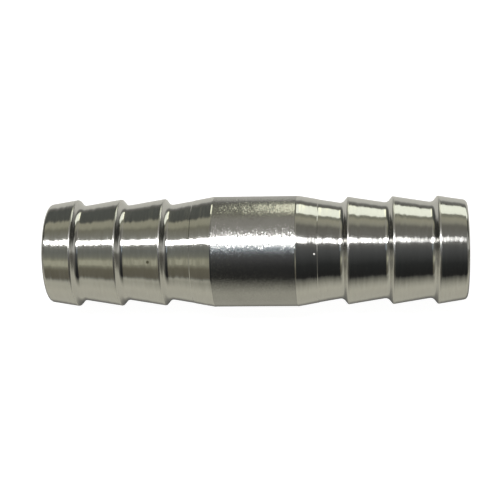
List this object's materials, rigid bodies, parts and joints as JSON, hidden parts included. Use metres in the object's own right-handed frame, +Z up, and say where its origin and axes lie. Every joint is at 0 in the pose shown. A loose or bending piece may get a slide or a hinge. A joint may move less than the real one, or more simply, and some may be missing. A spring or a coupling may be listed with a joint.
{
  "type": "straight hose barb connector",
  "caption": "One-piece stainless steel tube with a plain middle band and saw-tooth hose barbs at both ends, joining two soft hoses in line.",
  "frame": {"origin": "centre of the part, on its axis halfway between the two end faces", "axes": "+X along the axis to one end face, +Z up with the part lying on its side; the part is the same from either end"},
  "size_m": [0.0528, 0.014, 0.014],
  "materials": {
    "stainless_steel": "bright fine-turned barbs and tapers, satin drawn-bar middle band"
  },
  "bodies": {
    "root": {"connector_body": "stainless_steel"}
  },
  "joints": []
}
